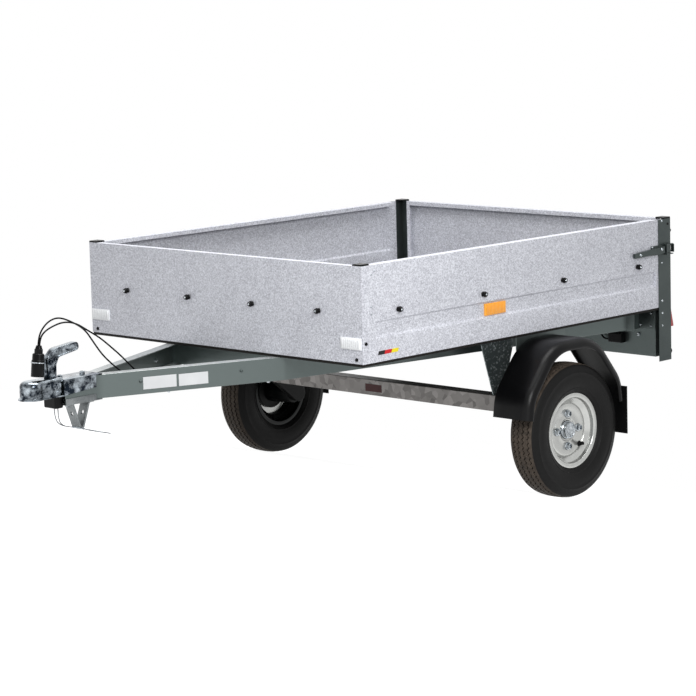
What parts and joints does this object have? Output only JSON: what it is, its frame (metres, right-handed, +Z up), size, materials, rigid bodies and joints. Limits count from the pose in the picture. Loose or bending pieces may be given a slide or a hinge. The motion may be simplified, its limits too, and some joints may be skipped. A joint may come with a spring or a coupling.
{
  "type": "utility trailer",
  "caption": "Single-axle box utility trailer with a hinged tailgate, A-frame drawbar, ball coupling, V-shaped parking foot and mudguards.",
  "frame": {"origin": "bottom centre of the standing trailer, on the ground midway between the ends of its length", "axes": "+Z up from the ground, +Y from the coupling to the tailgate, +X to the trailer's left side; the trailer stands nose-down on its tyres and its V-shaped foot"},
  "size_m": [1.388, 2.181, 0.9286],
  "materials": {
    "tyre": "moulded tread",
    "rim": "silver paint",
    "hub": "zinc plated",
    "galvanised": "hot-dip galvanised",
    "sheet": "zinc-coated sheet",
    "board": "film-faced board",
    "black_plastic": "moulded",
    "guard_plastic": "grained",
    "flap_rubber": "plain",
    "lens": "clear moulding",
    "reflector_white": "prismatic",
    "reflector_amber": "prismatic",
    "cast_steel": "zinc plated",
    "cable": "sheathed",
    "rope": "wire"
  },
  "bodies": {
    "chassis": {"axle_beam": "galvanised", "axle_brackets": "galvanised", "breakaway_ferrule": "rope", "breakaway_holder": "black_plastic", "breakaway_rope": "rope", "cable_clip": "black_plastic", "cable_lower": "cable", "cable_plug": "black_plastic", "cable_plug_gland": "black_plastic", "cable_upper": "cable", "chassis_cross_members": "galvanised", "coupling_handle": "cast_steel", "coupling_head": "cast_steel", "drawbar_arm_left": "galvanised", "drawbar_arm_right": "galvanised", "drawbar_base_plate": "galvanised", "fender_brackets": "galvanised", "fender_left": "guard_plastic", "fender_right": "guard_plastic", "floor_panel": "board", "frame_hinges": "galvanised", "front_posts": "galvanised", "front_reflectors": "reflector_white", "front_wall": "sheet", "lamp_connectors": "black_plastic", "latches": "galvanised", "mud_flaps": "flap_rubber", "parking_foot": "galvanised", "plug_ring": "rope", "post_caps": "black_plastic", "rear_buffers": "flap_rubber", "rear_gussets": "galvanised", "rear_light_panel": "galvanised", "rear_post_left": "galvanised", "rear_post_right": "galvanised", "side_reflectors": "reflector_amber", "side_wall_left": "sheet", "side_wall_right": "sheet", "swing_arm_left": "galvanised", "swing_arm_right": "galvanised", "tail_lamp_housings": "black_plastic", "tail_lamp_lenses": "lens", "tarp_buttons": "black_plastic"},
    "wheel_left": {"tyre_left": "tyre", "rim_left": "rim", "hub_left": "hub"},
    "wheel_right": {"tyre_right": "tyre", "rim_right": "rim", "hub_right": "hub"},
    "tailgate": {"tailgate": "sheet", "gate_hinges": "galvanised", "gate_buttons": "black_plastic", "latch_loops": "galvanised"}
  },
  "joints": [
    {"name": "wheel_left_spin", "type": "hinge", "parent": "chassis", "child": "wheel_left", "pos_m": [0.626, 0.52657, 0.2065], "axis": [1, 0, 0], "continuous": true},
    {"name": "wheel_right_spin", "type": "hinge", "parent": "chassis", "child": "wheel_right", "pos_m": [-0.626, 0.52657, 0.2065], "axis": [1, 0, 0], "continuous": true},
    {"name": "tailgate_hinge", "type": "hinge", "parent": "chassis", "child": "tailgate", "pos_m": [0, 1.05248, 0.65368], "axis": [-1, 0, 0], "range_deg": [0, 165]}
  ]
}
